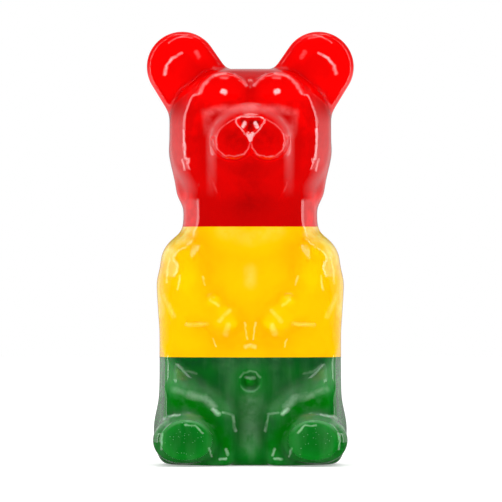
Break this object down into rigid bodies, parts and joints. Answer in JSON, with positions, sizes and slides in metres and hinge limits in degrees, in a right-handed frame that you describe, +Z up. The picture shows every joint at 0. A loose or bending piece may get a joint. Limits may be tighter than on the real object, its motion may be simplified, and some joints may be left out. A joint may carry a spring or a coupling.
{
  "type": "gummy bear",
  "caption": "Giant sitting gummy bear cast in level layers of red, yellow and green gel, with round ears, a navel and flat round soles.",
  "frame": {"origin": "centre of the bounding box's lower face, on the surface that the bear sits on", "axes": "+Z up, through the head; the bear faces -Y; X across, with the bear mirrored about X = 0"},
  "size_m": [0.1152, 0.1094, 0.241],
  "materials": {
    "red_gel": "clear soft gelatine gel, glossy",
    "yellow_gel": "clear soft gelatine gel, glossy",
    "green_gel": "slightly milky soft gelatine gel, glossy"
  },
  "bodies": {
    "root": {"head_red_layer": "red_gel", "body_yellow_layer": "yellow_gel", "legs_green_layer": "green_gel"}
  },
  "joints": []
}
